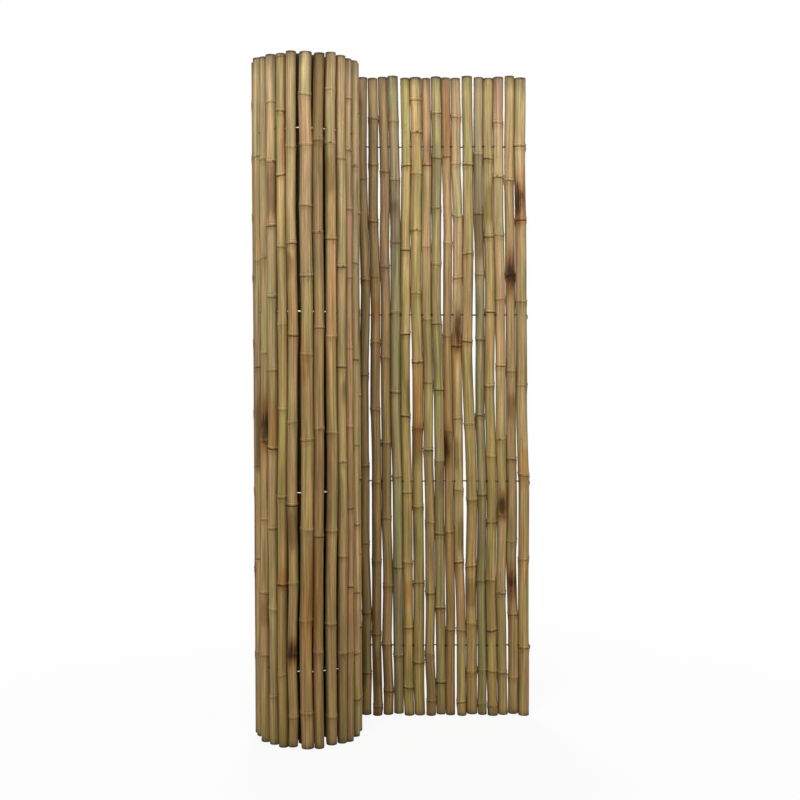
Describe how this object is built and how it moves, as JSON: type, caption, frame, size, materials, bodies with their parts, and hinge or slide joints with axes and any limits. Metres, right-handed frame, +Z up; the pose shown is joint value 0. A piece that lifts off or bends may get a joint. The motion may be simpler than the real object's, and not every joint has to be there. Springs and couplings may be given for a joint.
{
  "type": "bamboo fence panel",
  "caption": "Tall fence panel of drilled bamboo canes strung side by side on galvanised wires, standing on its ends and partly unrolled from its roll.",
  "frame": {"origin": "middle of the footprint's bounding box, on the ground", "axes": "+Z up along the canes, +X from the roll along the flat run, -Y towards the side that the roll stands out on"},
  "size_m": [0.7814, 0.3152, 1.835],
  "materials": {
    "bamboo": "satin",
    "wire": "satin"
  },
  "bodies": {
    "root": {"panel_cane_01": "bamboo", "panel_cane_02": "bamboo", "panel_cane_03": "bamboo", "panel_cane_04": "bamboo", "panel_cane_05": "bamboo", "panel_cane_06": "bamboo", "panel_cane_07": "bamboo", "panel_cane_08": "bamboo", "panel_cane_09": "bamboo", "panel_cane_10": "bamboo", "panel_cane_11": "bamboo", "panel_cane_12": "bamboo", "panel_cane_13": "bamboo", "panel_cane_14": "bamboo", "panel_cane_15": "bamboo", "panel_cane_16": "bamboo", "panel_cane_17": "bamboo", "panel_cane_18": "bamboo", "panel_cane_19": "bamboo", "panel_cane_20": "bamboo", "roll_cane_01": "bamboo", "roll_cane_02": "bamboo", "roll_cane_03": "bamboo", "roll_cane_04": "bamboo", "roll_cane_05": "bamboo", "roll_cane_06": "bamboo", "roll_cane_07": "bamboo", "roll_cane_08": "bamboo", "roll_cane_09": "bamboo", "roll_cane_10": "bamboo", "roll_cane_11": "bamboo", "roll_cane_12": "bamboo", "roll_cane_13": "bamboo", "roll_cane_14": "bamboo", "roll_cane_15": "bamboo", "roll_cane_16": "bamboo", "roll_cane_17": "bamboo", "roll_cane_18": "bamboo", "roll_cane_19": "bamboo", "roll_cane_20": "bamboo", "roll_cane_21": "bamboo", "roll_cane_22": "bamboo", "roll_cane_23": "bamboo", "roll_cane_24": "bamboo", "roll_cane_25": "bamboo", "second_turn_canes": "bamboo", "core_canes": "bamboo", "lowest_wire": "wire", "lower_wire": "wire", "upper_wire": "wire", "top_wire": "wire"}
  },
  "joints": []
}
